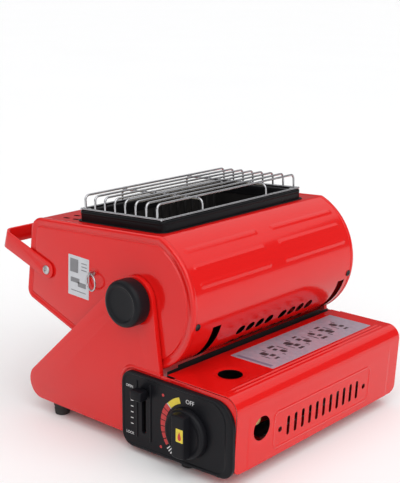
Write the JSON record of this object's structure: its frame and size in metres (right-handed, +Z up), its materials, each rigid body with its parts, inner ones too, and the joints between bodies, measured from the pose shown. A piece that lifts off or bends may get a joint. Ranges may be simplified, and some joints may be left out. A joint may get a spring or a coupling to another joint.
{
  "type": "portable gas heater",
  "caption": "Red sheet-steel cartridge gas heater with a tilting drum head, ceramic burner under a wire guard, side arms, clamp knobs and a hinged cartridge bay.",
  "frame": {"origin": "on the ground, under the middle of the bounding box", "axes": "+X to the cartridge side, -Y to the control panel end, +Z up; the head tilts about an axis along Y"},
  "size_m": [0.332, 0.31, 0.2447],
  "materials": {
    "red_enamel": "glossy baked enamel",
    "black_enamel": "satin heat-proof enamel",
    "black_plastic": "fine moulded grain",
    "rubber": "matte",
    "zinc_steel": "zinc plated",
    "black_screw": "blackened",
    "cast_alloy": "as cast",
    "brass": "turned",
    "chrome_wire": "bright plated wire",
    "burner_ceramic": "unglazed, pierced",
    "gasket": "mineral fibre"
  },
  "bodies": {
    "base": {"base_pan": "red_enamel", "front_side_plate": "red_enamel", "rear_side_plate": "red_enamel", "bay_wall": "black_enamel", "heat_shield": "black_enamel", "rubber_feet": "rubber", "foot_screws": "zinc_steel", "control_panel": "black_plastic", "lever_guide": "zinc_steel", "regulator_body": "cast_alloy", "canister_socket": "zinc_steel", "inlet_nozzle": "brass", "adjuster_plug": "brass", "piezo_igniter": "black_plastic", "gas_pipe": "brass", "gas_jet": "brass", "lid_hinge_pin": "zinc_steel"},
    "head": {"drum_cover": "red_enamel", "top_panel": "red_enamel", "belly_pan": "red_enamel", "front_end_plate": "red_enamel", "rear_end_plate": "red_enamel", "cover_screws": "black_screw", "burner_frame": "black_enamel", "frame_screws": "zinc_steel", "reflector_tray": "black_enamel", "burner_box": "zinc_steel", "ceramic_tiles": "burner_ceramic", "tile_gasket": "gasket", "venturi_tube": "zinc_steel", "spark_electrode": "burner_ceramic", "guard_ring": "chrome_wire", "guard_wires": "chrome_wire", "guard_cross_wires": "chrome_wire", "front_pivot_bush": "zinc_steel", "rear_pivot_bush": "zinc_steel", "stop_pin": "zinc_steel", "handle_screws": "zinc_steel"},
    "lid": {"canister_lid": "red_enamel"},
    "control_knob": {"control_knob": "black_plastic", "valve_spindle": "brass"},
    "lever": {"lock_lever": "black_plastic"},
    "carriage": {"canister_carriage": "zinc_steel"},
    "front_clamp": {"front_clamp_knob": "black_plastic", "front_clamp_stud": "zinc_steel"},
    "rear_clamp": {"rear_clamp_knob": "black_plastic", "rear_clamp_stud": "zinc_steel"},
    "handle": {"handle_strap": "red_enamel"},
    "ring": {"pull_ring": "chrome_wire"}
  },
  "joints": [
    {"name": "head_tilt", "type": "hinge", "parent": "base", "child": "head", "pos_m": [0.038, 0, 0.154], "axis": [0, 1, 0], "range_deg": [0, 90]},
    {"name": "lid_open", "type": "hinge", "parent": "base", "child": "lid", "pos_m": [0.0835, 0, 0.0848], "axis": [0, 1, 0], "range_deg": [-55, 0]},
    {"name": "control_knob_turn", "type": "hinge", "parent": "base", "child": "control_knob", "pos_m": [0.1097, -0.14, 0.0425], "axis": [0, -1, 0], "range_deg": [0, 150]},
    {"name": "lever_slide", "type": "slide", "parent": "base", "child": "lever", "axis": [0, 0, -1], "range_m": [0, 0.038]},
    {"name": "carriage_slide", "type": "slide", "parent": "base", "child": "carriage", "axis": [0, -1, 0], "range_m": [0, 0.01]},
    {"name": "front_clamp_turn", "type": "hinge", "parent": "head", "child": "front_clamp", "pos_m": [0.038, -0.14, 0.154], "axis": [0, -1, 0], "continuous": true},
    {"name": "rear_clamp_turn", "type": "hinge", "parent": "head", "child": "rear_clamp", "pos_m": [0.038, 0.14, 0.154], "axis": [0, 1, 0], "continuous": true},
    {"name": "handle_swing", "type": "hinge", "parent": "head", "child": "handle", "pos_m": [-0.0924, 0, 0.15818], "axis": [0, 1, 0], "range_deg": [-75, 69]},
    {"name": "ring_swing", "type": "hinge", "parent": "head", "child": "ring", "pos_m": [-0.02279, -0.1356, 0.16744], "axis": [-0.9703, 0.2419, 0], "range_deg": [0, 70]}
  ],
  "couplings": [
    {"joint": "carriage_slide", "follows": "lever_slide", "ratio": 0.263}
  ]
}
